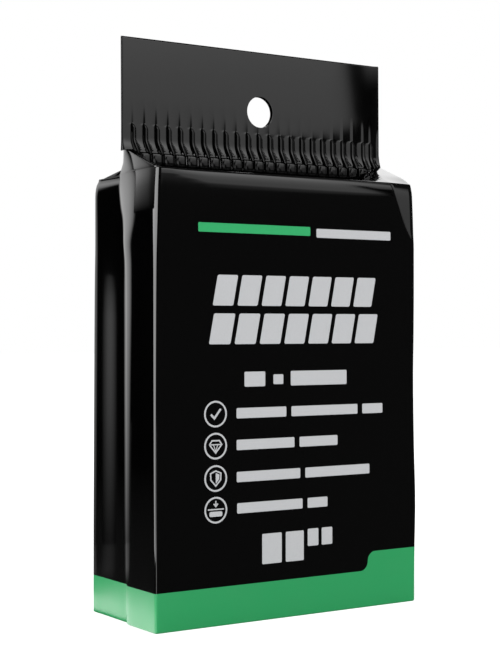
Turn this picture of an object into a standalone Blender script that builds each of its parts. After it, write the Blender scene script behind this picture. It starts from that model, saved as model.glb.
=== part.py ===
"""Hang-sell pack of semi-rigid card holders.

A gusseted film pouch holds a stack of clear card holders. Its mouth is gathered
into a ribbed crimp seal, and above the seal stands a two-ply header tab with a
punched hang hole. Metres, +Z up, the front of the pack faces -Y. The origin is
on the surface that the pack stands on, below the middle of the pouch.
"""

from math import cos, pi, radians, sin, tan

import bmesh
import bpy
from mathutils import Vector

# Card holders: two clear sheets welded on three edges, the back one longer by a lip.
HOLDER_COUNT = 50
HOLDER_WIDTH = 0.084
HOLDER_HEIGHT = 0.123
SHEET_THICKNESS = 0.00016
POCKET_GAP = 0.00015
LIP_HEIGHT = 0.012
WELD_WIDTH = 0.0022
HOLDER_CORNER_RADIUS = 0.003
POCKET_CORNER_RADIUS = 0.0015
HOLDER_CORNER_STEPS = 4
HOLDER_SPACING = 0.0003

# Film pouch: one printed web with side gussets, a back seal and folded ends.
FILM_THICKNESS = 0.0003
SIDE_ROOM = 0.0017
STACK_ROOM = 0.0003
HEADROOM = 0.0022
POUCH_CORNER_RADIUS = 0.002
BOTTOM_EDGE_RADIUS = 0.0009
TOP_EDGE_RADIUS = 0.0024
GUSSET_TUCK = 0.0011
GUSSET_ROUNDNESS = 2.4
PANEL_CROWN = 0.0002
BAND_HEIGHT = 0.0109
BACK_SEAL_WIDTH = 0.010
BACK_SEAL_RAMP = 0.0006
CORNER_STEPS = 4
EDGE_STEPS = 3
SIDE_STEPS = 4
FRONT_STEPS = 4

# Shoulders: the pouch top slopes up from the panels to a narrow mouth.
SHOULDER_RISE = 0.0044
SHOULDER_SPREAD = 0.0012
SHOULDER_TUCK = 0.0022
SHOULDER_SAG_SHARE = 0.42
MOUTH_HALF_DEPTH = 0.0024
MOUTH_COLLAR = 0.0008
MOUTH_CORNER_RADIUS = 0.0006

# Bottom seal: a crimped fin folded flat under the pouch, in a shallow recess.
BOTTOM_FIN_WIDTH = 0.008
BOTTOM_FIN_END_INSET = 0.005
FIN_ROOM = 0.0007

# Header: the ribbed crimp seal on the mouth, and the tab that folds above it.
HEADER_OFFSET = -0.0016
HEADER_OVERHANG = 0.002
PLY_GAP = 0.001
SEAT_GAP = 0.0003
CRIMP_HEIGHT = 0.0086
CRIMP_SKIRT_OVERLAP = 0.0006
CRIMP_FLARE_SHARE = 0.7
CRIMP_SKIRT_WALL = 0.0006
CRIMP_CAVITY_SHARE = 0.5
RIB_COUNT = 23
RIB_WIDTH = 0.0015
RIB_HEIGHT = 0.0005
RIB_END = 0.0012
FLARE_STEPS = 4
TAB_HEIGHT = 0.024
TAB_CORNER_RADIUS = 0.001
TAB_EDGE_SEAL = 0.0012
HANG_HOLE_DIAMETER = 0.0092
HANG_HOLE_RISE = 0.0059
HANG_HOLE_STEPS = 32
FOLD_GAP = 0.0004
FOLD_EDGE_THICKNESS = 0.0002
FOLD_ANGLE = radians(120)

# One length by which every cutter passes the surface that it cuts.
CUT_OVERRUN = 0.002

# Sizes that follow from the ones above.
HOLDER_THICKNESS = 2 * SHEET_THICKNESS + POCKET_GAP
HOLDER_PITCH = HOLDER_THICKNESS + HOLDER_SPACING
STACK_DEPTH = HOLDER_COUNT * HOLDER_THICKNESS + (HOLDER_COUNT - 1) * HOLDER_SPACING
POUCH_HALF_WIDTH = HOLDER_WIDTH / 2 + SIDE_ROOM + FILM_THICKNESS
POUCH_HALF_DEPTH = STACK_DEPTH / 2 + STACK_ROOM + FILM_THICKNESS
SEAL_THICKNESS = 2 * FILM_THICKNESS
FIN_RECESS = SEAL_THICKNESS + SEAT_GAP
STACK_BASE = FIN_RECESS + FILM_THICKNESS + STACK_ROOM
POUCH_HEIGHT = STACK_BASE + HOLDER_HEIGHT + HEADROOM + FILM_THICKNESS
MOUTH_HEIGHT = POUCH_HEIGHT + SHOULDER_RISE + MOUTH_COLLAR
HEADER_HALF_WIDTH = POUCH_HALF_WIDTH + HEADER_OVERHANG
HEADER_HALF_THICKNESS = PLY_GAP / 2 + FILM_THICKNESS
CRIMP_BASE = MOUTH_HEIGHT + SEAT_GAP
CRIMP_TOP = CRIMP_BASE + CRIMP_HEIGHT
FOLD_HEIGHT = CRIMP_TOP + FOLD_GAP / 2
TAB_BASE = FOLD_HEIGHT + FOLD_GAP / 2
TAB_TOP = TAB_BASE + TAB_HEIGHT
FOLD_TAPER = (HEADER_HALF_THICKNESS - FOLD_EDGE_THICKNESS / 2) * tan(FOLD_ANGLE / 2)
SKIRT_HALF_DEPTH = MOUTH_HALF_DEPTH + CRIMP_SKIRT_OVERLAP
RIB_PITCH = 2 * HEADER_HALF_WIDTH / (RIB_COUNT + 1)
RIB_PROFILE_SHARES = ((-0.5, 0.0), (-0.3, 0.75), (0.0, 1.0), (0.3, 0.75), (0.5, 0.0))


def clear_scene():
    """Empty the scene of whatever it opened with."""
    for item in list(bpy.data.objects):
        bpy.data.objects.remove(item, do_unlink=True)


def plastic(name, colour, roughness, alpha=1.0):
    """A plastic material of the given colour, roughness and opacity."""
    material = bpy.data.materials.new(name)
    material.use_nodes = True
    shader = material.node_tree.nodes["Principled BSDF"]
    shader.inputs["Base Color"].default_value = (*colour, 1.0)
    shader.inputs["Roughness"].default_value = roughness
    shader.inputs["Metallic"].default_value = 0.0
    shader.inputs["Alpha"].default_value = alpha
    material.diffuse_color = (*colour, alpha)
    return material


def arc(centre_x, centre_y, radius, start, end, steps):
    """Points along an arc, both ends included, with angles in radians."""
    return [
        (
            centre_x + radius * cos(start + (end - start) * i / steps),
            centre_y + radius * sin(start + (end - start) * i / steps),
        )
        for i in range(steps + 1)
    ]


def object_from(mesh_builder, name, materials, smooth_angle=None):
    """Make a named object from a bmesh, with outward faces."""
    bmesh.ops.recalc_face_normals(mesh_builder, faces=mesh_builder.faces)
    mesh = bpy.data.meshes.new(name)
    mesh_builder.to_mesh(mesh)
    mesh_builder.free()
    for material in materials:
        mesh.materials.append(material)
    if smooth_angle is not None:
        mesh.shade_smooth()
        mesh.set_sharp_from_angle(angle=smooth_angle)
    item = bpy.data.objects.new(name, mesh)
    bpy.context.scene.collection.objects.link(item)
    return item


def add_loop(builder, outline, height):
    """Add one horizontal loop of vertices to the bmesh."""
    return [builder.verts.new((x, y, height)) for x, y in outline]


def bridge(builder, lower, upper):
    """Join two loops of equal length with quads and return the faces."""
    count = len(lower)
    return [
        builder.faces.new((lower[i], lower[(i + 1) % count], upper[(i + 1) % count], upper[i]))
        for i in range(count)
    ]


def cut(item, cutter):
    """Subtract the cutter from the item with a Boolean modifier."""
    cutter.hide_render = True
    cutter.display_type = "WIRE"
    modifier = item.modifiers.new("cut_" + cutter.name, "BOOLEAN")
    modifier.operation = "DIFFERENCE"
    modifier.object = cutter


def box_cutter(name, low, high):
    """A plain box between two corners, for use as a cutter."""
    builder = bmesh.new()
    bmesh.ops.create_cube(builder, size=1.0)
    low, high = Vector(low), Vector(high)
    for vert in builder.verts:
        vert.co = Vector(
            low[k] + (high[k] - low[k]) * (vert.co[k] + 0.5) for k in range(3)
        )
    return object_from(builder, name, [])


def holder_outline(half_width, bottom, top, radius, rounded_top):
    """Outline of a sheet in X and Z, from its top left corner down and round."""
    points = arc(-half_width + radius, bottom + radius, radius, pi, 1.5 * pi, HOLDER_CORNER_STEPS)
    points += arc(half_width - radius, bottom + radius, radius, 1.5 * pi, 2 * pi, HOLDER_CORNER_STEPS)
    if rounded_top:
        points += arc(half_width - radius, top - radius, radius, 0, 0.5 * pi, HOLDER_CORNER_STEPS)
        points += arc(-half_width + radius, top - radius, radius, 0.5 * pi, pi, HOLDER_CORNER_STEPS)
    return points


def holder_mesh(material):
    """One card holder, standing on Z = 0 with its front sheet at Y = 0.

    The front sheet ends below the lip. The pocket between the sheets is open
    there, and closed by the welds at the sides and the bottom.
    """
    half_width = HOLDER_WIDTH / 2
    front_top = HOLDER_HEIGHT - LIP_HEIGHT
    pocket_half = half_width - WELD_WIDTH
    pocket_front = SHEET_THICKNESS
    pocket_back = SHEET_THICKNESS + POCKET_GAP
    back = HOLDER_THICKNESS

    lower = holder_outline(half_width, 0, front_top, HOLDER_CORNER_RADIUS, False)
    whole = holder_outline(half_width, 0, HOLDER_HEIGHT, HOLDER_CORNER_RADIUS, True)
    upper = whole[len(lower):]
    pocket = holder_outline(pocket_half, WELD_WIDTH, front_top, POCKET_CORNER_RADIUS, False)
    step_right, step_left = (half_width, front_top), (-half_width, front_top)
    mouth_right, mouth_left = (pocket_half, front_top), (-pocket_half, front_top)

    builder = bmesh.new()
    made = {}

    def vert(point, y):
        key = (round(point[0], 9), round(y, 9), round(point[1], 9))
        if key not in made:
            made[key] = builder.verts.new((point[0], y, point[1]))
        return made[key]

    def face(corners):
        builder.faces.new([vert(point, y) for point, y in corners])

    def strip(points, y_front, y_back):
        for a, b in zip(points, points[1:]):
            face([(a, y_front), (b, y_front), (b, y_back), (a, y_back)])

    body_edge = [step_left] + lower + [step_right]
    lip_edge = [step_right] + upper + [step_left]
    pocket_edge = [mouth_left] + pocket + [mouth_right]
    face([(p, back) for p in body_edge + lip_edge[1:-1]])
    face([(p, 0) for p in body_edge])
    strip(body_edge, 0, pocket_back)
    strip(body_edge, pocket_back, back)
    strip(lip_edge, pocket_back, back)
    face([(p, pocket_back) for p in lip_edge + pocket_edge])
    face([(p, pocket_front) for p in pocket_edge])
    strip(pocket_edge, pocket_front, pocket_back)
    face(
        [(step_left, 0), (step_right, 0), (step_right, pocket_back), (mouth_right, pocket_back)]
        + [(mouth_right, pocket_front), (mouth_left, pocket_front)]
        + [(mouth_left, pocket_back), (step_left, pocket_back)]
    )
    template = object_from(builder, "holder_template", [material])
    mesh = template.data
    mesh.name = "card_holder"
    bpy.data.objects.remove(template)
    return mesh


def build_holders(material):
    """The stack of holders, front to back, each its own object on one mesh."""
    mesh = holder_mesh(material)
    for i in range(HOLDER_COUNT):
        item = bpy.data.objects.new(f"card_holder_{i + 1:02d}", mesh)
        item.location = (0, -STACK_DEPTH / 2 + i * HOLDER_PITCH, STACK_BASE)
        bpy.context.scene.collection.objects.link(item)


def half_outline(half_width, front, back, radius, tuck, crease_y, crown, seal_raise):
    """Right half of a pouch outline, from the middle of the front to the back seal.

    The front edge lies at Y = front and the back edge at Y = back. The side
    bulges in two halves that meet in a gusset crease at Y = crease_y. The front
    panel stands out as far as the back seal does.
    """
    flat = half_width - radius
    points = [
        (flat * i / FRONT_STEPS, front - (crown + seal_raise) * (1 - (i / FRONT_STEPS) ** 2))
        for i in range(FRONT_STEPS)
    ]
    points += arc(flat, front + radius, radius, -0.5 * pi, 0, CORNER_STEPS)
    for i in range(1, SIDE_STEPS + 1):
        share = i / SIDE_STEPS
        y = front + radius + (crease_y - front - radius) * share
        points.append((half_width - tuck * share**GUSSET_ROUNDNESS, y))
    for i in reversed(range(1, SIDE_STEPS)):
        share = i / SIDE_STEPS
        y = back - radius + (crease_y - back + radius) * share
        points.append((half_width - tuck * share**GUSSET_ROUNDNESS, y))
    points += arc(flat, back - radius, radius, 0, 0.5 * pi, CORNER_STEPS)
    points.append((BACK_SEAL_WIDTH / 2 + BACK_SEAL_RAMP, back + crown))
    points.append((BACK_SEAL_WIDTH / 2, back + crown + seal_raise))
    return points


def pouch_outline(half_width, front, back, radius, tuck, crease_y=0, crown=0, seal_raise=0):
    """Closed pouch outline, counter-clockwise from above."""
    right = half_outline(half_width, front, back, radius, tuck, crease_y, crown, seal_raise)
    left = [(-x, y) for x, y in reversed(right[1:])]
    return right + left


def inset(outline, distance):
    """The outline moved inwards by the distance, measured square to its edges."""
    count = len(outline)
    moved = []
    for i in range(count):
        here = Vector(outline[i])
        before = (here - Vector(outline[i - 1])).normalized()
        after = (Vector(outline[(i + 1) % count]) - here).normalized()
        normal_before = Vector((-before.y, before.x))
        normal_after = Vector((-after.y, after.x))
        bisector = (normal_before + normal_after).normalized()
        moved.append(tuple(here + bisector * distance / bisector.dot(normal_after)))
    return moved


def pouch_stations():
    """Outlines of the pouch from the bottom recess to the mouth.

    Each entry is an outline, its height, how far the inner skin lies inside it
    and how far above it.
    """
    width, depth = POUCH_HALF_WIDTH, POUCH_HALF_DEPTH
    film = FILM_THICKNESS
    recess_half_depth = BOTTOM_FIN_WIDTH / 2 + FIN_ROOM
    recess = pouch_outline(width - BOTTOM_FIN_END_INSET + FIN_ROOM, -recess_half_depth,
                           recess_half_depth, MOUTH_CORNER_RADIUS, 0)
    stations = [(recess, FIN_RECESS, -film, film), (recess, 0, -film, film)]
    for i in range(EDGE_STEPS + 1):
        angle = 0.5 * pi * i / EDGE_STEPS
        drawn_in = BOTTOM_EDGE_RADIUS * (1 - sin(angle))
        outline = pouch_outline(width - drawn_in, -depth + drawn_in, depth - drawn_in,
                                POUCH_CORNER_RADIUS, GUSSET_TUCK)
        height = BOTTOM_EDGE_RADIUS * (1 - cos(angle))
        stations.append((outline, height, film * sin(angle), film * cos(angle)))
    wall = pouch_outline(width, -depth, depth, POUCH_CORNER_RADIUS, GUSSET_TUCK,
                         crown=PANEL_CROWN, seal_raise=FILM_THICKNESS)
    stations.append((wall, BAND_HEIGHT, film, 0))
    stations.append((wall, (BAND_HEIGHT + POUCH_HEIGHT) / 2, film, 0))
    stations.append((wall, POUCH_HEIGHT - TOP_EDGE_RADIUS, film, 0))
    for i in range(1, EDGE_STEPS + 1):
        angle = 0.5 * pi * i / EDGE_STEPS
        drawn_in = TOP_EDGE_RADIUS * (1 - cos(angle))
        outline = pouch_outline(width, -depth + drawn_in, depth - drawn_in,
                                POUCH_CORNER_RADIUS, GUSSET_TUCK)
        height = POUCH_HEIGHT - TOP_EDGE_RADIUS * (1 - sin(angle))
        stations.append((outline, height, film * cos(angle), -film * sin(angle)))
    edge = depth - TOP_EDGE_RADIUS
    mouth_front = HEADER_OFFSET - MOUTH_HALF_DEPTH
    mouth_back = HEADER_OFFSET + MOUTH_HALF_DEPTH
    middle = pouch_outline(width + SHOULDER_SPREAD / 2, (mouth_front - edge) / 2,
                           (mouth_back + edge) / 2,
                           (POUCH_CORNER_RADIUS + MOUTH_CORNER_RADIUS) / 2,
                           SHOULDER_TUCK, crease_y=HEADER_OFFSET / 2)
    mouth = pouch_outline(width + SHOULDER_SPREAD, mouth_front, mouth_back,
                          MOUTH_CORNER_RADIUS, GUSSET_TUCK, crease_y=HEADER_OFFSET)
    stations.append((middle, POUCH_HEIGHT + SHOULDER_RISE * SHOULDER_SAG_SHARE, 0, -film))
    stations.append((mouth, POUCH_HEIGHT + SHOULDER_RISE, film, -film))
    stations.append((mouth, MOUTH_HEIGHT, film, 0))
    return stations


def build_pouch(black, green):
    """The film pouch: an outer and an inner skin joined at the mouth."""
    builder = bmesh.new()
    stations = pouch_stations()
    outer = [add_loop(builder, outline, z) for outline, z, _, _ in stations]
    inner = [
        add_loop(builder, inset(outline, inward), z + lift)
        for outline, z, inward, lift in stations
    ]
    for skin in (outer, inner):
        builder.faces.new(skin[0])
        for lower, upper in zip(skin, skin[1:]):
            bridge(builder, lower, upper)
    bridge(builder, outer[-1], inner[-1])
    for face in builder.faces:
        centre = face.calc_center_median()
        face.material_index = 1 if centre.z < BAND_HEIGHT else 0
    return object_from(builder, "pouch_film", [black, green], radians(35))


def build_bottom_fin(material):
    """The bottom seal, a flat two-ply fin that lies in the recess under the pouch."""
    half_length = POUCH_HALF_WIDTH - BOTTOM_FIN_END_INSET
    half_width = BOTTOM_FIN_WIDTH / 2
    builder = bmesh.new()
    outline = [(-half_length, -half_width), (half_length, -half_width),
               (half_length, half_width), (-half_length, half_width)]
    low = add_loop(builder, outline, 0)
    high = add_loop(builder, inset(outline, FILM_THICKNESS), SEAL_THICKNESS)
    builder.faces.new(low)
    bridge(builder, low, high)
    builder.faces.new(high)
    return object_from(builder, "bottom_seal_fin", [material])


def crimp_outline(half_width, half_thickness, rib_height):
    """Closed outline of the crimp, with ribs standing out of both faces."""
    start = -RIB_PITCH * (RIB_COUNT - 1) / 2
    front = [(-half_width, 0.0)]
    for i in range(RIB_COUNT):
        centre = start + i * RIB_PITCH
        front += [(centre + across * RIB_WIDTH, out * rib_height) for across, out in RIB_PROFILE_SHARES]
    front.append((half_width, 0.0))
    face = [(x, HEADER_OFFSET - half_thickness - out) for x, out in front]
    rear = [(x, HEADER_OFFSET + half_thickness + out) for x, out in reversed(front)]
    return face + rear


def crimp_levels():
    """Height, half thickness and rib height of each level of the crimp."""
    flare_height = CRIMP_HEIGHT * CRIMP_FLARE_SHARE
    flare = SKIRT_HALF_DEPTH - HEADER_HALF_THICKNESS
    levels = [
        (
            CRIMP_BASE + flare_height * i / FLARE_STEPS,
            HEADER_HALF_THICKNESS + flare * (1 - i / FLARE_STEPS) ** 3,
            RIB_HEIGHT,
        )
        for i in range(FLARE_STEPS + 1)
    ]
    shoulder = CRIMP_TOP - FOLD_TAPER
    levels[-1] = (shoulder - RIB_END, HEADER_HALF_THICKNESS, RIB_HEIGHT)
    levels.append((shoulder, HEADER_HALF_THICKNESS, 0))
    levels.append((CRIMP_TOP, FOLD_EDGE_THICKNESS / 2, 0))
    return levels


def build_crimp(material):
    """The ribbed crimp seal that closes the mouth, hollow under its skirt."""
    builder = bmesh.new()
    loops = [
        add_loop(builder, crimp_outline(HEADER_HALF_WIDTH, half, rib), z)
        for z, half, rib in crimp_levels()
    ]
    builder.faces.new(loops[0])
    for lower, upper in zip(loops, loops[1:]):
        bridge(builder, lower, upper)
    builder.faces.new(loops[-1])
    crimp = object_from(builder, "crimp_seal", [material], radians(50))

    wedge_half = SKIRT_HALF_DEPTH - CRIMP_SKIRT_WALL
    wedge_height = CRIMP_HEIGHT * CRIMP_FLARE_SHARE * CRIMP_CAVITY_SHARE
    wedge_low = CRIMP_BASE - CUT_OVERRUN
    low_half = wedge_half * (wedge_height + CUT_OVERRUN) / wedge_height
    wedge_length = HEADER_HALF_WIDTH - CRIMP_SKIRT_WALL
    corners = [(-low_half, wedge_low), (low_half, wedge_low), (0, CRIMP_BASE + wedge_height)]
    builder = bmesh.new()
    ends = [
        [builder.verts.new((x, HEADER_OFFSET + y, z)) for y, z in corners]
        for x in (-wedge_length, wedge_length)
    ]
    for end in ends:
        builder.faces.new(end)
    bridge(builder, ends[0], ends[1])
    cut(crimp, object_from(builder, "crimp_cavity_cutter", []))
    return crimp


def build_header_tab(material):
    """The header tab: two plies sealed round the edge, with the hang hole."""
    half_width, half = HEADER_HALF_WIDTH, HEADER_HALF_THICKNESS
    levels = [
        (TAB_BASE, half_width, FOLD_EDGE_THICKNESS / 2),
        (TAB_BASE + FOLD_TAPER, half_width, half),
    ]
    for i in range(CORNER_STEPS + 1):
        angle = 0.5 * pi * i / CORNER_STEPS
        levels.append(
            (
                TAB_TOP - TAB_CORNER_RADIUS * (1 - sin(angle)),
                half_width - TAB_CORNER_RADIUS * (1 - cos(angle)),
                half,
            )
        )
    builder = bmesh.new()
    loops = [
        add_loop(
            builder,
            [(-x, HEADER_OFFSET - y), (x, HEADER_OFFSET - y), (x, HEADER_OFFSET + y), (-x, HEADER_OFFSET + y)],
            z,
        )
        for z, x, y in levels
    ]
    builder.faces.new(loops[0])
    for lower, upper in zip(loops, loops[1:]):
        bridge(builder, lower, upper)
    builder.faces.new(loops[-1])
    tab = object_from(builder, "header_tab", [material], radians(40))

    ply_half = PLY_GAP / 2
    seal = TAB_EDGE_SEAL
    cut(
        tab,
        box_cutter(
            "tab_ply_gap_cutter",
            (-half_width + seal, HEADER_OFFSET - ply_half, TAB_BASE + FOLD_TAPER),
            (half_width - seal, HEADER_OFFSET + ply_half, TAB_TOP - seal),
        ),
    )
    builder = bmesh.new()
    bmesh.ops.create_cone(
        builder,
        cap_ends=True,
        segments=HANG_HOLE_STEPS,
        radius1=HANG_HOLE_DIAMETER / 2,
        radius2=HANG_HOLE_DIAMETER / 2,
        depth=2 * (half + CUT_OVERRUN),
    )
    punch = object_from(builder, "hang_hole_cutter", [])
    punch.rotation_euler = (0.5 * pi, 0, 0)
    punch.location = (0, HEADER_OFFSET, FOLD_HEIGHT + HANG_HOLE_RISE)
    cut(tab, punch)
    return tab


def main():
    """Build the whole pack."""
    clear_scene()
    black = plastic("black_film", (0.004, 0.004, 0.004), 0.12)
    green = plastic("green_film", (0.035, 0.34, 0.125), 0.15)
    clear = plastic("clear_sheet", (0.80, 0.84, 0.86), 0.15, alpha=0.35)

    build_pouch(black, green)
    build_bottom_fin(green)
    build_crimp(black)
    build_holders(clear)

    fold = bpy.data.objects.new("header_fold_axis", None)
    fold.location = (0, HEADER_OFFSET, FOLD_HEIGHT)
    bpy.context.scene.collection.objects.link(fold)
    tab = build_header_tab(black)
    tab.parent = fold
    tab.matrix_parent_inverse = fold.matrix_basis.inverted()


main()
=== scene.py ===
"""Looks of the hang-sell pack of card holders: printed film, ink, clear sheets, floor and light.

The frame gives the construction. The film here is one smooth web for the pouch and one for the
header, shaped in millimetres and then brought to metres. +Z is up and the printed front faces -Y.
"""

import logging
import math
from dataclasses import dataclass, replace
from enum import Enum
from typing import Any, Iterable, Sequence

import bpy
import numpy as np
from mathutils import Matrix, Vector


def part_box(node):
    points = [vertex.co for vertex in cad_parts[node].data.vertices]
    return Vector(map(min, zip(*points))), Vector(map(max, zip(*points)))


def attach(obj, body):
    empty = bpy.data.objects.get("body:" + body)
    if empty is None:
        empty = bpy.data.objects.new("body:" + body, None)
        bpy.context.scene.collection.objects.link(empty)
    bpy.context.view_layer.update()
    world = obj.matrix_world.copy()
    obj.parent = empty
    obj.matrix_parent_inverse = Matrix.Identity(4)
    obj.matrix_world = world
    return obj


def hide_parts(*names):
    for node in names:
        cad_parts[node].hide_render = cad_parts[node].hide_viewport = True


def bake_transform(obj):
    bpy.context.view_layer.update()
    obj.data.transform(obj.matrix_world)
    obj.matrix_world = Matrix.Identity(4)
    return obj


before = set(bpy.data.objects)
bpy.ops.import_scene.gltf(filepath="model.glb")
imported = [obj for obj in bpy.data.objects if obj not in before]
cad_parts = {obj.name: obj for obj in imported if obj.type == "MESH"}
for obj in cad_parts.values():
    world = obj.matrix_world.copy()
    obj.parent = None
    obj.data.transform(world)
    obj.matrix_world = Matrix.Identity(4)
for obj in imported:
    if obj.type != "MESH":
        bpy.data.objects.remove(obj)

LOG = logging.getLogger("pack")
MM = 0.001
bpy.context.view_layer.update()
# Points nearer to each other than this, in metres, are joined where a tube closes.
SEAM_REACH = 0.000004

# Pairs of place and value, by rising place.
Stops = tuple[tuple[float, float], ...]
# Where a form comes, and where it goes.
Spans = tuple[tuple[float, float], tuple[float, float]]


def linear(hex_colour: str) -> tuple[float, float, float, float]:
    """Turn an sRGB hex colour into linear RGBA.

    Args:
        hex_colour: Six hex digits, such as "349b60".

    Returns:
        The linear colour with an alpha of one.
    """
    channels = []
    for i in (0, 2, 4):
        value = int(hex_colour[i:i + 2], 16) / 255
        channels.append(value / 12.92 if value <= 0.04045 else ((value + 0.055) / 1.055) ** 2.4)
    return (*channels, 1.0)


def smoothstep(low: float, high: float, value: Any) -> Any:
    """Rise smoothly from 0 at low to 1 at high, for a number or an array."""
    share = np.clip((np.asarray(value, float) - low) / (high - low), 0.0, 1.0)
    return share * share * (3.0 - 2.0 * share)


def window(rise: tuple[float, float], fall: tuple[float, float], value: Any) -> Any:
    """Rise smoothly from 0 to 1 over the first span and fall back to 0 over the second."""
    return smoothstep(*rise, value) * (1 - smoothstep(*fall, value))


def between(start: float, end: float, way: float) -> float:
    """The size that lies part of the way from one to another."""
    return start + (end - start) * way


def trace(stops: Stops, at: Any) -> Any:
    """Follow a smooth curve through stops, without overshoot.

    Args:
        stops: Pairs of place and value, by rising place.
        at: A place or an array of places.

    Returns:
        The value at each place, held level beyond the ends.
    """
    places = np.array([stop[0] for stop in stops], float)
    values = np.array([stop[1] for stop in stops], float)
    step = np.diff(places)
    rise = np.diff(values) / step
    slopes = np.zeros(len(places))
    same = rise[:-1] * rise[1:] > 0
    both = rise[:-1] + rise[1:]
    slopes[1:-1][same] = 2 * rise[:-1][same] * rise[1:][same] / both[same]
    at = np.clip(np.asarray(at, float), places[0], places[-1])
    i = np.clip(np.searchsorted(places, at, side="right") - 1, 0, len(step) - 1)
    t = (at - places[i]) / step[i]
    return (
        (2 * t**3 - 3 * t**2 + 1) * values[i] + (t**3 - 2 * t**2 + t) * step[i] * slopes[i]
        + (3 * t**2 - 2 * t**3) * values[i + 1] + (t**3 - t**2) * step[i] * slopes[i + 1]
    )


def node_box(name: str) -> tuple[Vector, Vector]:
    """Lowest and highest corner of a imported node, in millimetres."""
    low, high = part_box(name)
    return Vector(low) / MM, Vector(high) / MM


def deselect_all() -> None:
    """Leave nothing selected, so that an operator acts on one piece alone."""
    if bpy.context.mode != "OBJECT":
        bpy.ops.object.mode_set(mode="OBJECT")
    bpy.ops.object.select_all(action="DESELECT")


def activate(piece: bpy.types.Object) -> None:
    """Select one piece alone and make it active."""
    deselect_all()
    piece.select_set(True)
    bpy.context.view_layer.objects.active = piece


def settle(piece: bpy.types.Object) -> None:
    """Bring a piece's place, turn and scale into its mesh."""
    activate(piece)
    bpy.ops.object.transform_apply(location=True, rotation=True, scale=True)


def apply_modifier(piece: bpy.types.Object, kind: str, **settings: Any) -> None:
    """Add one modifier to a piece, set it and apply it.

    Args:
        piece: The mesh object.
        kind: The modifier's type, such as "SOLIDIFY".
        settings: Its properties.
    """
    activate(piece)
    modifier = piece.modifiers.new(kind.lower(), kind)
    for key, value in settings.items():
        setattr(modifier, key, value)
    bpy.ops.object.modifier_apply(modifier=modifier.name)


def add_node(tree: bpy.types.NodeTree, kind: str, inputs: dict | None = None,
             **settings: Any) -> Any:
    """Add a node with its settings, values and links.

    Args:
        tree: The node tree.
        kind: The node's type name without its "ShaderNode" prefix.
        inputs: Socket name or number to a value or to another node's output.
        settings: The node's own properties.

    Returns:
        The new node.
    """
    node = tree.nodes.new("ShaderNode" + kind)
    for key, value in settings.items():
        setattr(node, key, value)
    for key, value in (inputs or {}).items():
        if isinstance(value, bpy.types.NodeSocket):
            tree.links.new(value, node.inputs[key])
        else:
            node.inputs[key].default_value = value
    return node


def math_node(tree: bpy.types.NodeTree, operation: str, *values: Any) -> Any:
    """Output of a Math node on numbers or on other nodes' outputs."""
    return add_node(tree, "Math", dict(enumerate(values)), operation=operation).outputs[0]


def map_range(tree: bpy.types.NodeTree, value: Any, start: float, end: float, low: float = 0.0,
              high: float = 1.0) -> Any:
    """Output of a node that brings value from the range start to end into that of low to high."""
    return add_node(tree, "MapRange", {
        "Value": value, "From Min": start, "From Max": end, "To Min": low, "To Max": high,
    }).outputs[0]


def new_material(name: str) -> tuple[bpy.types.Material, bpy.types.NodeTree, Any]:
    """Make an empty node material.

    Returns:
        The material, its tree and its output node.
    """
    material = bpy.data.materials.new(name)
    material.use_nodes = True
    tree = material.node_tree
    tree.nodes.clear()
    output = add_node(tree, "OutputMaterial")
    return material, tree, output


class Panel(Enum):
    """Stretches of the film web, in order round the pouch seen from above."""

    FRONT = 0
    RIGHT = 1
    BACK = 2
    LEFT = 3


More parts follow.
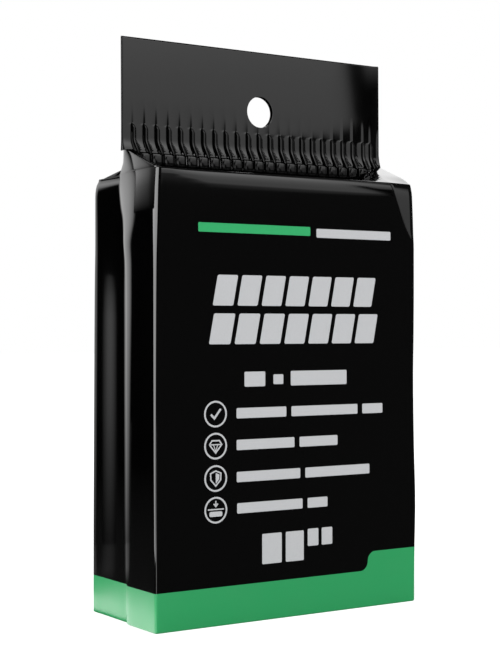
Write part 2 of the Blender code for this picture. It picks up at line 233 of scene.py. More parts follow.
@dataclass(frozen=True)
class PrintedFilm:
    """Glossy film: clear polypropylene printed on its inner side, black with a green foot band.

    The black mirrors its surroundings sharply, so that every fold draws a streak. The green is
    duller, and light spreads over it as a soft glow.
    """

    name: str = "printed_film"
    black: str = "020202"
    green: str = "249557"
    black_roughness: float = 0.05
    green_roughness: float = 0.34
    ior: float = 1.5
    band_top: float = 10.9
    step_top: float = 16.5
    step_start: float = 24.3
    step_length: float = 5.6
    front_limit: float = -17.5
    mottle_size: float = 6.0
    gloss_spread: tuple[float, float] = (0.8, 1.2)
    step_turns: int = 6

    def step_height(self, tree: bpy.types.NodeTree, x: Any) -> Any:
        """Height of the green band at x: low, then two equal arcs up to the tab at the right."""
        share = map_range(tree, x, self.step_start * MM, (self.step_start + self.step_length) * MM)
        curve = add_node(tree, "FloatCurve", {"Value": share})
        points = curve.mapping.curves[0].points
        turns = self.step_turns
        for i in range(1, 2 * turns):
            angle = 0.5 * math.pi * (i % turns) / turns
            if i < turns:
                place = (0.5 * math.sin(angle), 0.5 * (1 - math.cos(angle)))
            else:
                place = (1 - 0.5 * math.cos(angle), 0.5 + 0.5 * math.sin(angle))
            points.new(*place)
        curve.mapping.update()
        return map_range(tree, curve.outputs[0], 0.0, 1.0, self.band_top * MM, self.step_top * MM)

    def green_mask(self, tree: bpy.types.NodeTree, place: Any) -> Any:
        """One where the green is printed and nothing elsewhere."""
        parts = add_node(tree, "SeparateXYZ", {0: place})
        step = self.step_height(tree, parts.outputs["X"])
        on_front = math_node(tree, "LESS_THAN", parts.outputs["Y"], self.front_limit * MM)
        height = add_node(tree, "Mix", {
            "Factor": on_front, "A": self.band_top * MM, "B": step,
        }, data_type="FLOAT")
        return math_node(tree, "LESS_THAN", parts.outputs["Z"], height.outputs["Result"])

    def build(self) -> bpy.types.Material:
        """Make the material."""
        material, tree, output = new_material(self.name)
        place = add_node(tree, "TexCoord").outputs["Object"]
        green = self.green_mask(tree, place)
        # Inputs 6 and 7 and output 2 are a Mix node's colours.
        colour = add_node(tree, "Mix", {
            "Factor": green, 6: linear(self.black), 7: linear(self.green),
        }, data_type="RGBA")
        # Heat and handling leave the gloss very slightly uneven.
        noise = add_node(tree, "TexNoise", {
            "Vector": place, "Scale": 1 / (self.mottle_size * MM), "Detail": 2.0,
        })
        uneven = map_range(tree, noise.outputs[0], 0.0, 1.0, *self.gloss_spread)
        plain = add_node(tree, "Mix", {
            "Factor": green, "A": self.black_roughness, "B": self.green_roughness,
        }, data_type="FLOAT")
        rough = math_node(tree, "MULTIPLY", plain.outputs["Result"], uneven)
        shader = add_node(tree, "BsdfPrincipled", {
            "Base Color": colour.outputs[2], "Roughness": rough, "IOR": self.ior,
        })
        tree.links.new(shader.outputs[0], output.inputs["Surface"])
        return material


@dataclass(frozen=True)
class Ink:
    """Opaque gravure ink: flat even colour whose soft shine keeps it readable from any side."""

    name: str
    colour: str
    roughness: float = 0.12
    ior: float = 1.5
    grain_size: float = 0.35
    tone_spread: tuple[float, float] = (0.93, 1.07)

    def build(self) -> bpy.types.Material:
        """Make the material."""
        material, tree, output = new_material(self.name)
        place = add_node(tree, "TexCoord").outputs["Object"]
        # The ink cells are 0.1 mm in life, drawn coarser here so that they show at all.
        cells = add_node(tree, "TexNoise", {
            "Vector": place, "Scale": 1 / (self.grain_size * MM), "Detail": 1.0,
        })
        tone = map_range(tree, cells.outputs[0], 0.0, 1.0, *self.tone_spread)
        colour = add_node(tree, "VectorMath", {
            0: linear(self.colour)[:3], "Scale": tone,
        }, operation="SCALE")
        shader = add_node(tree, "BsdfPrincipled", {
            "Base Color": colour.outputs[0], "Roughness": self.roughness, "IOR": self.ior,
        })
        tree.links.new(shader.outputs[0], output.inputs["Surface"])
        return material


@dataclass(frozen=True)
class ClearSheet:
    """Calendered clear PVC sheet: see-through, glossy with a faint haze, and slightly blue."""

    name: str = "clear_pvc_sheet"
    colour: str = "e9f1f4"
    roughness: float = 0.07
    ior: float = 1.53
    opacity: float = 0.35
    haze_size: float = 9.0

    def build(self) -> bpy.types.Material:
        """Make the material."""
        material, tree, output = new_material(self.name)
        place = add_node(tree, "TexCoord").outputs["Object"]
        haze = add_node(tree, "TexNoise", {"Vector": place, "Scale": 1 / (self.haze_size * MM)})
        rough = map_range(tree, haze.outputs[0], 0.0, 1.0, self.roughness, self.roughness * 2)
        shader = add_node(tree, "BsdfPrincipled", {
            "Base Color": linear(self.colour), "Roughness": rough, "IOR": self.ior,
            "Alpha": self.opacity,
        })
        tree.links.new(shader.outputs[0], output.inputs["Surface"])
        return material


# Share of the way in, distance from the header's middle and height of the front shoulder.
SHELF_STOPS = np.array([
    (0.03, 16.7, 126.98), (0.08, 15.7, 126.85), (0.16, 13.6, 126.8), (0.28, 10.4, 126.9),
    (0.40, 7.2, 127.3), (0.50, 4.6, 128.1), (0.56, 3.0, 128.75), (0.60, 1.95, 129.05),
    (0.63, 1.35, 129.1), (0.655, 1.5, 129.26), (0.68, 1.8, 129.4), (0.70, 1.93, 129.56),
    (0.73, 1.955, 129.85), (0.77, 1.955, 130.35), (0.81, 1.955, 130.9), (0.85, 1.955, 131.45),
    (0.89, 1.953, 131.9), (0.92, 1.94, 132.25), (0.945, 1.89, 132.55), (0.965, 1.68, 132.8),
    (0.98, 1.35, 132.95), (1.0, 1.2, 134.1),
])


@dataclass(frozen=True)
class Row:
    """One closed row of the film web: its height, its corners and the shape of its gussets.

    The share tells how far up the shoulder the row lies, and is below zero on the walls. Columns
    nearer to the middle than kept stay in line from row to row.
    """

    z: float
    front: float
    back: float
    left: float
    right: float
    left_back: float
    right_back: float
    corner_along: float = 1.5
    corner_across: float = 1.5
    corner_back: float = 0.3
    crease: float = 0.0
    tuck: float = 0.0
    power: float = 5.0
    crown: float = 0.0
    lean: float = 0.0
    share: float = -1.0
    kept: float = 38.5


@dataclass
class FilmWeb:
    """The film's rest shape, in millimetres, as rows of points round the pack.

    A row starts at the front panel's left end and runs round to the right, so its points
    lie counter-clockwise seen from above. Widths are distances from the middle plane.
    """

    half_depth: float
    height: float
    header_half_width: float
    header_y: float
    header_half_thickness: float
    top_z: float
    bottom_radius: float = 0.5
    edge_radius: float = 0.7
    edge_angles: tuple[int, ...] = (20, 40, 60, 78)
    arc_steps: int = 8
    half_side_steps: int = 16

    # Crimp ribs, and the columns of the web that don't follow them.
    rib_count: int = 23
    rib_pitch: float = 3.86
    rib_start: float = -41.7
    end_ribs: tuple[float, float] = (39.7, 42.6)
    end_columns: tuple[float, ...] = (-1, -0.985, -0.965, -0.945, 0.955, 0.97, 0.985, 1)
    least_column: float = 0.07

    # Walls: each size follows the height.
    left_front: Stops = ((0, 45.3), (32, 45.3), (60, 45.2), (90, 45.0), (113, 44.75), (121, 44.6),
                         (124, 44.45), (127, 44.3))
    left_back: Stops = ((0, 43.95), (20, 43.9), (50, 43.65), (75, 43.4), (100, 43.1),
                        (107, 42.95), (122, 42.87), (124.5, 42.6), (126, 42.0), (127, 41.3))
    back_lean: Stops = ((0, 0.48), (92, 0.5), (107, 0.55), (127, 0.5))
    left_crown: Stops = ((0, 0.4), (30, 0.43), (60, 0.45), (90, 0.43), (101, 0.22), (107, 0.1),
                         (111, 0.0), (127, 0.0))
    right_front: Stops = ((0, 45.1), (15, 45.3), (30, 45.7), (50, 45.3), (66, 45.2), (80, 45.5),
                          (92, 45.75), (104, 45.95), (111, 46.15), (118, 46.4), (123, 46.4),
                          (127, 46.1))
    right_back_excess: float = 0.9
    crease_y: Stops = ((0, -2.9), (15, -2.9), (32, -2.7), (44, -2.6), (62, -2.3), (91, -1.8),
                       (101, -1.3), (107, -0.2), (114, 0.7), (118, 2.3), (122, 3.2), (125, 3.5),
                       (127, 3.9))
    tuck_depth: Stops = ((0, 0.3), (31, 0.35), (61, 0.45), (88, 0.6), (106, 0.7), (113, 1.0),
                         (121, 1.4), (127, 1.2))
    tuck_power: Stops = ((0, 13.0), (31, 12.3), (61, 9.2), (88, 7.2), (106, 6.4), (113, 3.7),
                         (121, 2.6), (127, 2.6))
    corner_reach: Stops = ((0, 0.8), (40, 1.0), (90, 1.35), (100, 1.5), (112, 2.6), (121, 4.4),
                           (127, 4.4))
    corner_round: Stops = ((0, 0.4), (12, 0.36), (30, 0.32), (45, 0.4), (90, 0.75), (112, 1.05),
                           (127, 1.05))
    crown_span: tuple[float, float] = (0.14, 0.85)
    dip_reach: float = 0.12
    coarse_rows: int = 18
    fine_rows: int = 26
    fine_from: float = 98.0

    # Folded bottom: a shallow recess over the end seal.
    recess_depth: float = 0.9
    recess_half_depth: float = 4.7
    recess_half_width: float = 39.7
    recess_round: float = 0.6

    # Mouth, where the shoulders end inside the header's foot.
    mouth_room: float = 0.45
    mouth_inset: float = 0.3
    mouth_round: float = 0.3
    mouth_crease: float = 2.2
    mouth_tuck: float = 0.9
    mouth_power: float = 2.6
    left_gather: float = 1.2
    left_back_gather: float = 2.4

    # Header: its foot, its flare and the steps of its rows, closest at the caps of the ribs.
    skirt_z: float = 133.35
    flare: float = 0.64
    flare_top: float = 137.3
    foot_rows: tuple[float, float] = (139.1, 0.42)
    cap_rows: tuple[float, float, float] = (139.1, 141.2, 0.16)
    hollow_rows: tuple[float, float, float] = (141.3, 149.0, 1.2)
    tab_rows_from: float = 149.5
    tab_rows: int = 5
    side_inset: float = 0.3
    right_inset: float = 0.4
    header_kept: float = 43.4
    top_drops: tuple[float, ...] = (0.6, 0.45, 0.4)
    top_hem: Stops = ((0.03, 0.1), (0.15, 0.28), (0.35, 0.37), (0.6, 0.4))

    def rib_places(self) -> np.ndarray:
        """X of each rib on the header."""
        even = self.rib_start + self.rib_pitch * np.arange(self.rib_count - len(self.end_ribs))
        return np.concatenate([even, self.end_ribs])

    def columns(self, near: Sequence[float]) -> np.ndarray:
        """Places of the columns across a panel, closer together by each rib.

        Args:
            near: Distances from a rib's middle at which columns stand.

        Returns:
            X of the columns for a panel as wide as the header.
        """
        places = [rib + np.array(near) for rib in self.rib_places()]
        ends = self.header_half_width * np.array(self.end_columns)
        every = np.unique(np.round(np.concatenate([*places, ends]), 4))
        every = every[np.abs(every) <= self.header_half_width]
        keep = [every[0]]
        for place in every[1:]:
            if place - keep[-1] > self.least_column:
                keep.append(place)
        keep[-1] = self.header_half_width
        return np.array(keep)

    def fit(self, places: np.ndarray, low: float, high: float, kept: float) -> np.ndarray:
        """Bring the columns' places between two ends, and leave those in the middle as they are.

        Args:
            places: X of the columns for a panel as wide as the header.
            low: X of the left end.
            high: X of the right end.
            kept: Distance from the middle within which columns stay.

        Returns:
            X of the columns.
        """
        full = self.header_half_width
        out = np.clip(np.abs(places) - kept, 0, None) / (full - kept)
        ends = np.where(places > 0, high - kept, -low - kept)
        return np.where(np.abs(places) <= kept, places, np.sign(places) * (kept + out * ends))

    def side(self, row: Row, right: bool) -> tuple[np.ndarray, np.ndarray, np.ndarray]:
        """One gusset from the front panel's end to the back panel's end.

        Args:
            row: The row's sizes.
            right: True for the side at +X.

        Returns:
            Distance from the middle plane, Y, and the lane: 0 at the front corner, 1 at the
            crease and 2 at the back corner.
        """
        width = row.right if right else row.left
        width_back = row.right_back if right else row.left_back
        turn = 0.5 * math.pi * np.arange(1, self.arc_steps + 1) / self.arc_steps
        start = row.front + row.corner_across
        end = row.back - row.corner_back
        front_arc = (width - row.corner_along * (1 - np.sin(turn)),
                     row.front + row.corner_across * (1 - np.cos(turn)))
        steps = 0.5 * math.pi * np.arange(1, self.half_side_steps + 1)
        share = np.sin(steps / self.half_side_steps)
        front_half = (width - row.tuck * share**row.power, start + (row.crease - start) * share)
        away = np.concatenate([(1 - share[::-1])[1:], [1.0]])
        crest = width_back - row.lean + row.crown
        dip = crest - (width - row.tuck)
        back_half = (
            crest + row.lean * away - row.crown * smoothstep(*self.crown_span, away)
            - dip * np.clip(1 - away / self.dip_reach, 0, 1) ** 2,
            row.crease + (end - row.crease) * away,
        )
        back_arc = (width_back - row.corner_back * (1 - np.cos(turn)),
                    end + row.corner_back * np.sin(turn))
        x = np.concatenate([front_arc[0], front_half[0], back_half[0], back_arc[0][:-1]])
        y = np.concatenate([front_arc[1], front_half[1], back_half[1], back_arc[1][:-1]])
        lane = np.concatenate([0 * turn, share, 1 + away, 2 + 0 * turn[:-1]])
        return x, y, lane

    def outline(self, row: Row, places: np.ndarray) -> np.ndarray:
        """A closed row of points.

        Args:
            row: The row's sizes.
            places: X of the columns for a panel as wide as the header.

        Returns:
            Rows of X, Y, Z, panel number, lane and how far up the shoulder each point lies.
        """
        left, right = row.left - row.corner_along, row.right - row.corner_along
        left_back, right_back = row.left_back - row.corner_back, row.right_back - row.corner_back
        count = len(places)
        front_x = self.fit(places, -left, right, row.kept)
        back_x = self.fit(places, -left_back, right_back, row.kept)[::-1]
        right_x, right_y, right_lane = self.side(row, True)
        left_x, left_y, left_lane = self.side(row, False)
        x = np.concatenate([front_x, right_x, back_x, -left_x[::-1]])
        y = np.concatenate([
            np.full(count, row.front), right_y, np.full(count, row.back), left_y[::-1],
        ])
        panel = np.concatenate([
            np.full(count, Panel.FRONT.value), np.full(len(right_x), Panel.RIGHT.value),
            np.full(count, Panel.BACK.value), np.full(len(left_x), Panel.LEFT.value),
        ])
        lane = np.concatenate([0 * places, right_lane, 2 + 0 * places, left_lane[::-1]])
        return np.array([x, y, np.full(len(x), row.z), panel, lane, np.full(len(x), row.share)])

    def wall_row(self, z: float) -> Row:
        """The pouch outline at a height on its walls."""
        back_corner = float(trace(self.left_back, z))
        return Row(
            z=z, front=-self.half_depth, back=self.half_depth,
            left=float(trace(self.left_front, z)), right=float(trace(self.right_front, z)),
            left_back=back_corner, right_back=back_corner + self.right_back_excess,
            corner_along=float(trace(self.corner_round, z)),
            corner_across=float(trace(self.corner_reach, z)),
            crease=float(trace(self.crease_y, z)), tuck=float(trace(self.tuck_depth, z)),
            power=float(trace(self.tuck_power, z)), crown=float(trace(self.left_crown, z)),
            lean=float(trace(self.back_lean, z)),
        )

    def wall_rows(self) -> list[Row]:
        """Rows up the walls, closer together towards the top."""
        end = self.height - self.edge_radius
        lower = np.linspace(self.bottom_radius, self.fine_from, self.coarse_rows)
        upper = np.linspace(self.fine_from, end, self.fine_rows)[1:]
        return [self.wall_row(float(z)) for z in np.concatenate([lower, upper])]

    def bottom_rows(self) -> list[Row]:
        """Rows of the folded bottom: the recess over the end seal, the flat and the rim."""
        base = self.wall_row(self.bottom_radius)
        width, depth, radius = self.recess_half_width, self.recess_half_depth, self.recess_round
        recess = Row(
            z=self.recess_depth, front=-depth, back=depth, left=width, right=width,
            left_back=width, right_back=width, corner_along=radius, corner_across=radius,
            corner_back=radius,
        )
        rows = [recess, replace(recess, z=0.0)]
        for angle in np.linspace(0, 0.5 * math.pi, 5)[:-1]:
            inward = self.bottom_radius * (1 - math.sin(angle))
            rows.append(replace(
                base, front=base.front + inward, back=base.back - inward,
                left=base.left - inward, right=base.right - inward,
                left_back=base.left_back - inward, right_back=base.right_back - inward,
                z=self.bottom_radius * (1 - math.cos(angle)),
            ))
        return rows

    def shoulder_row(self, start: Row, way: float) -> Row:
        """A row part of the way from the top edge into the header's mouth.

        Args:
            start: The last row of the top edge.
            way: The share of the way.

        Returns:
            The row. Its own corners run along the raised ridges that close both ends.
        """
        mouth_front = self.header_y - self.header_half_thickness - self.mouth_room
        mouth_back = self.header_y + self.header_half_thickness + self.mouth_room
        width = self.header_half_width - self.mouth_inset
        return replace(
            start, share=way,
            front=between(start.front, mouth_front, way),
            back=between(start.back, mouth_back, way),
            left=between(start.left, width - self.left_gather, way),
            right=between(start.right, width, way),
            left_back=between(start.left_back, width - self.left_back_gather, way),
            right_back=between(start.right_back, width, way),
            corner_across=between(start.corner_across, self.mouth_round, way**0.3),
            corner_along=between(start.corner_along, self.mouth_round, way),
            corner_back=between(start.corner_back, self.mouth_round, way),
            crease=between(start.crease, self.header_y + self.mouth_crease, way),
            tuck=between(start.tuck, self.mouth_tuck, way),
            lean=between(start.lean, 0.0, way), power=self.mouth_power, crown=0.0,
        )

    def shoulder_rows(self) -> list[Row]:
        """Rows over the top edge, across the shelf and up the pleats into the header's mouth."""
        top = self.wall_row(self.height - self.edge_radius)
        rows = []
        for angle in np.radians(self.edge_angles):
            inward = self.edge_radius * (1 - math.cos(angle))
            rows.append(replace(
                top, front=top.front + inward, back=top.back - inward,
                z=self.height - self.edge_radius * (1 - math.sin(angle)),
            ))
        start = rows[-1]
        return rows + [self.shoulder_row(start, float(way)) for way in SHELF_STOPS[:, 0]]

    def header_row(self, z: float) -> Row:
        """The header's outline at a height."""
        low = float(np.clip((self.flare_top - z) / (self.flare_top - self.skirt_z), 0, 1))
        spread = self.flare * low**2
        half, inset = self.header_half_thickness, self.side_inset
        left = self.header_half_width - inset
        right = self.header_half_width - self.right_inset + self.right_inset * low
        return Row(
            z=float(z), front=self.header_y - half - spread, back=self.header_y + half + spread,
            left=left, right=right, left_back=left, right_back=right, corner_along=inset,
            corner_across=inset, corner_back=inset, crease=self.header_y, tuck=inset, power=2.0,
            kept=self.header_kept,
        )

    def header_rows(self) -> list[Row]:
        """Rows of the header, from its foot over the crimp ribs to the top edge."""
        heights = np.concatenate([
            np.arange(self.skirt_z, *self.foot_rows), np.arange(*self.cap_rows),
            np.arange(*self.hollow_rows),
            np.linspace(self.tab_rows_from, self.top_z - 1.0, self.tab_rows),
            self.top_z - np.array(self.top_drops),
        ])
        rows = [self.header_row(z) for z in heights]
        last = rows[-1]
        for inward, rise in self.top_hem:
            rows.append(replace(last, front=last.front + inward, back=last.back - inward,
                                z=last.z + rise))
        return rows


def select_row(piece: bpy.types.Object, height: float, reach: float = 0.002) -> None:
    """Select the open edge at one end of a tube.

    Args:
        piece: The tube, in edit mode.
        height: The height of the open edge.
        reach: How far from that height the edge may lie.
    """
    bpy.ops.mesh.select_mode(type="EDGE")
    bpy.ops.mesh.select_all(action="DESELECT")
    bpy.ops.mesh.select_non_manifold(extend=False, use_wire=False, use_boundary=True,
                                     use_multi_face=False, use_non_contiguous=False,
                                     use_verts=False)
    bpy.ops.object.mode_set(mode="OBJECT")
    for edge in piece.data.edges:
        if edge.select:
            middle = sum((piece.data.vertices[i].co.z for i in edge.vertices)) / 2
            edge.select = bool(abs(middle - height) < reach)
    bpy.ops.object.mode_set(mode="EDIT")


def film_tube(name: str, x: np.ndarray, y: np.ndarray, z: np.ndarray, close_bottom: bool,
              close_top: bool = False) -> bpy.types.Object:
    """Wrap a grid into a closed tube of film.

    A grid primitive of the right size is wrapped round the pack: its columns become places
    round the outline and its rows go up.

    Args:
        name: The piece's name.
        x: X of every point in millimetres, one row of the web to a row.
        y: Y of every point.
        z: Z of every point.
        close_bottom: Whether the lowest row is closed with a face.
        close_top: Whether the highest row is closed by joining its front to its back.

    Returns:
        The new piece.
    """
    rows, columns = x.shape
    deselect_all()
    bpy.ops.mesh.primitive_grid_add(x_subdivisions=columns, y_subdivisions=rows - 1, size=1.0)
    piece = bpy.context.object
    piece.name = name
    piece.data.name = name
    wrapped = np.stack([
        np.concatenate([part, part[:, :1]], axis=1) for part in (x, y, z)
    ], axis=-1) * MM
    piece.data.vertices.foreach_set("co", wrapped.reshape(-1))
    piece.data.update()
    activate(piece)
    bpy.ops.object.mode_set(mode="EDIT")
    bpy.ops.mesh.select_all(action="SELECT")
    bpy.ops.mesh.remove_doubles(threshold=SEAM_REACH)
    for wanted, height in ((close_bottom, z[0].max()), (close_top, z[-1].min())):
        if wanted:
            select_row(piece, float(height * MM))
            bpy.ops.mesh.edge_face_add()
    bpy.ops.mesh.select_all(action="SELECT")
    bpy.ops.mesh.normals_make_consistent(inside=False)
    bpy.ops.object.mode_set(mode="OBJECT")
    return piece


@dataclass
class Pouch:
    """The film pouch with its panels, gussets, shoulders and seams."""

    web: FilmWeb
    near: tuple[float, ...] = (-1.9, -1.75, -1.6, -1.47, -1.34, -1.2, -0.9, -0.5, 0.0, 0.4, 0.62,
                               0.76, 0.88, 0.95, 1.02, 1.14, 1.28, 1.5, 1.75)

    # Panels: the crowned faces, the band that leans in at their top and the folded-back corner.
    lean_starts: Stops = ((-46, 127.2), (-41, 126.8), (-37, 125.6), (-33, 124.6), (-27, 123.5),
                          (-10, 123.2), (30, 122.9), (46, 122.9))
    least_run: float = 0.3
    band_slope: float = 0.21
    facet_crease: Stops = ((98, 52), (104, 47.5), (108.7, 45), (114.2, 41.6), (119.5, 39.5),
                           (124.6, 37.6), (128, 36.6))
    facet_slope: float = 0.13
    facet_blur: float = 0.12
    panel_crown: float = 0.22
    crown_half_width: float = 42.5
    seal_half_width: float = 5.0
    seal_ramp: float = 0.7
    seal_rise: float = 0.3
    seal_start: float = 2.0
    crease_angle: float = 50.0

    # Pleats: their edges beyond the ribs, how far each form stands out, and the shares of the
    # way in over which it comes and goes.
    valley_shift: float = 0.95
    last_pleat: float = 3.2
    far_edge: float = 60.0
    pleat_side: float = 0.14
    pleat_depth: float = 0.42
    pleat_span: tuple[float, float] = (0.6, 0.7)
    pleat_loss: float = 0.6
    pleat_loss_span: tuple[float, float] = (0.9, 1.0)
    foot_scallop: float = 0.45
    scallop_spans: Spans = ((0.56, 0.66), (0.7, 0.8))
    head_dip: float = 0.5
    head_span: tuple[float, float] = (0.85, 0.96)
    shelf_swell: float = 0.22
    swell_spans: Spans = ((0.1, 0.3), (0.5, 0.6))
    curl_place: float = 0.34
    curl_sway: float = 0.07
    curl_start: float = 0.7
    curl_wave: float = 0.24
    curl_depth: float = 0.06
    curl_width: float = 0.05
    curl_spans: Spans = ((0.66, 0.7), (0.9, 0.95))

    # Ends of the shoulders: the ridges that close them, and the back's longer shelf.
    shoulder_base: float = 127.0
    ridge_rise: float = 6.3
    ridge_top: float = 0.97
    back_drop: float = 0.4
    back_climb: float = 1.9
    back_shortfall: float = 1.3
    back_mouth: tuple[float, float] = (0.87, 1.0)
    back_spread: float = 0.185
    spread_from: float = 2.5
    spread_run: float = 14.0
    left_end: tuple[float, float] = (38.5, 44.0)
    right_end: tuple[float, float] = (30.3, 12.3)
    right_end_blend: float = 1.3
    side_span: tuple[float, float] = (0.1, 0.8)
    bulge_reach: float = 0.5
    bulge_power: float = 0.35
    bulge_end: tuple[float, float] = (0.55, 1.0)

    def facet(self, x: np.ndarray, z: np.ndarray) -> np.ndarray:
        """How far the front panel's upper right corner is folded back, from a slanted crease."""
        over = (x - trace(self.facet_crease, z)) / self.facet_blur
        return self.facet_slope * self.facet_blur * np.logaddexp(0, over)

    def panels(self, points: np.ndarray) -> np.ndarray:
        """Crown the panels, lean their tops in and raise the back seam.

        Args:
            points: Rows of the web's points, as its outlines give them.

        Returns:
            The same rows, moved.
        """
        x, y, z, panel, lane, share = points
        front, back = panel == Panel.FRONT.value, panel == Panel.BACK.value
        facing = front | back
        level = np.minimum(z, self.web.height)
        start = trace(self.lean_starts, x)
        run = np.maximum(self.web.height - start, self.least_run)
        deep = np.clip((level - start) / run, 0, None)
        lean = 0.5 * self.band_slope * run * deep**2 + self.facet(x, level) * ~back
        lean = lean * np.where(share < 0, 1, np.clip(1 - share * 3, 0, 1))
        corner = ~facing & (y < 0) & (lane <= 0)
        y = y + np.where(front | corner, lean, 0) - np.where(back, lean, 0)
        across = np.clip(np.abs(x) / self.crown_half_width, 0, 1)
        middle = np.sin(math.pi * np.clip(z / self.web.height, 0, 1))
        crown = self.panel_crown * (1 - across**2) * middle
        y = y - np.where(facing & (share < 0), np.where(front, crown, -crown), 0)
        seal_end = self.seal_half_width + self.seal_ramp
        seam = 1 - smoothstep(self.seal_half_width, seal_end, np.abs(x))
        seam = seam * smoothstep(0.0, self.seal_start, z) * (1 - np.clip(share, 0, 1))
        y = y + np.where(back, self.seal_rise * seam, 0)
        return np.array([x, y, z, panel, lane, share])

    def pleats(self, x: np.ndarray) -> tuple[np.ndarray, np.ndarray]:
        """Place across a pleat, 0 to 1 from valley to valley, and how far it stands out."""
        valleys = self.web.rib_places() + self.valley_shift
        edges = np.concatenate([[-self.far_edge, valleys[0] - self.web.rib_pitch], valleys,
                                [valleys[-1] + self.last_pleat, self.far_edge]])
        i = np.clip(np.searchsorted(edges, x, side="right") - 1, 0, len(edges) - 2)
        across = (x - edges[i]) / (edges[i + 1] - edges[i])
        stand = np.clip(np.minimum(across, 1 - across) / self.pleat_side, 0, 1)
        return across, np.sin(0.5 * math.pi * stand)

    def gathered(self, x: np.ndarray, up: np.ndarray) -> tuple[np.ndarray, np.ndarray]:
        """The shelf and the pleats under the header.

        Args:
            x: X of each point.
            up: How far up the shoulder it lies.

        Returns:
            Its distance from the header's middle and its height.
        """
        across, stand = self.pleats(x)
        reach = np.interp(up, SHELF_STOPS[:, 0], SHELF_STOPS[:, 1])
        shelf = np.interp(up, SHELF_STOPS[:, 0], SHELF_STOPS[:, 2])
        nose = 1 - (2 * across - 1) ** 4
        shelf = shelf + self.foot_scallop * (1 - nose) * window(*self.scallop_spans, up)
        shelf = shelf - self.head_dip * (1 - stand) * smoothstep(*self.head_span, up)
        shelf = shelf + self.shelf_swell * (nose - 0.5) * window(*self.swell_spans, up)
        valley = 1 - self.pleat_loss * smoothstep(*self.pleat_loss_span, up)
        valley = smoothstep(*self.pleat_span, up) * valley
        reach = reach - self.pleat_depth * (1 - stand) * valley
        # A faint curling crease runs down the left third of every pleat.
        sway = np.cos(2 * math.pi * (up - self.curl_start) / self.curl_wave)
        curl = self.curl_place + self.curl_sway * sway
        crease = np.exp(-((across - curl) / self.curl_width) ** 2)
        reach = reach - self.curl_depth * crease * window(*self.curl_spans, up)
        return reach, shelf

    def shoulders(self, points: np.ndarray) -> np.ndarray:
        """Lay the shelf, raise the pleats under the header and close both ends with a ridge.

        Args:
            points: Rows of the web's points, as its outlines give them.

        Returns:
            The same rows, moved.
        """
        x, y, z, panel, lane, share = points
        header_y = self.web.header_y
        up = np.clip(share, 0, 1)
        inside = share > 0
        front = panel == Panel.FRONT.value
        facing = front | (panel == Panel.BACK.value)
        reach, shelf = self.gathered(x, up)
        outer = np.clip((reach - self.spread_from) / self.spread_run, 0, 1)
        far = 1 + self.back_spread * outer
        deep = np.where(front, header_y - reach, header_y + reach * far)
        ridge = self.shoulder_base + self.ridge_rise * up / self.ridge_top
        late = (self.ridge_rise - self.back_shortfall) * smoothstep(*self.back_mouth, up)
        ridge_back = self.shoulder_base - self.back_drop + self.back_climb * up + late
        end = np.where(front, ridge, ridge_back)
        right_start, right_shift = self.right_end
        blend = np.maximum(
            smoothstep(*self.left_end, -x),
            smoothstep(0, self.right_end_blend, x - right_start - right_shift * up),
        )
        y = np.where(inside & facing, deep + (y - deep) * blend, y)
        along = smoothstep(*self.side_span, np.clip(lane / 2, 0, 1))
        side = ridge + (ridge_back - ridge) * along
        height = np.where(facing, shelf + (end - shelf) * blend, side)
        z = np.where(inside, height, z)
        # The gusset's top bulges out over its front half and then stands upright.
        early = up**self.bulge_power - up
        bulge = early * (1 - smoothstep(*self.bulge_end, lane)) * (lane <= 1)
        x = x + np.where(inside & ~facing, np.sign(x) * self.bulge_reach * bulge, 0)
        return np.array([x, y, z, panel, lane, share])

    def build(self, material: bpy.types.Material) -> bpy.types.Object:
        """Make the pouch film as one web.

        Args:
            material: The film's finish.

        Returns:
            The finished piece.
        """
        web = self.web
        places = web.columns(self.near)
        rows = web.bottom_rows() + web.wall_rows() + web.shoulder_rows()
        points = np.array([web.outline(row, places) for row in rows]).transpose(1, 0, 2)
        points = self.shoulders(self.panels(points))
        piece = film_tube("pouch_skin", points[0], points[1], points[2], close_bottom=True,
                          close_top=True)
        piece.data.materials.append(material)
        activate(piece)
        bpy.ops.object.shade_smooth_by_angle(angle=math.radians(self.crease_angle))
        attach(piece, "pouch")
        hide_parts("pouch_film")
        return piece


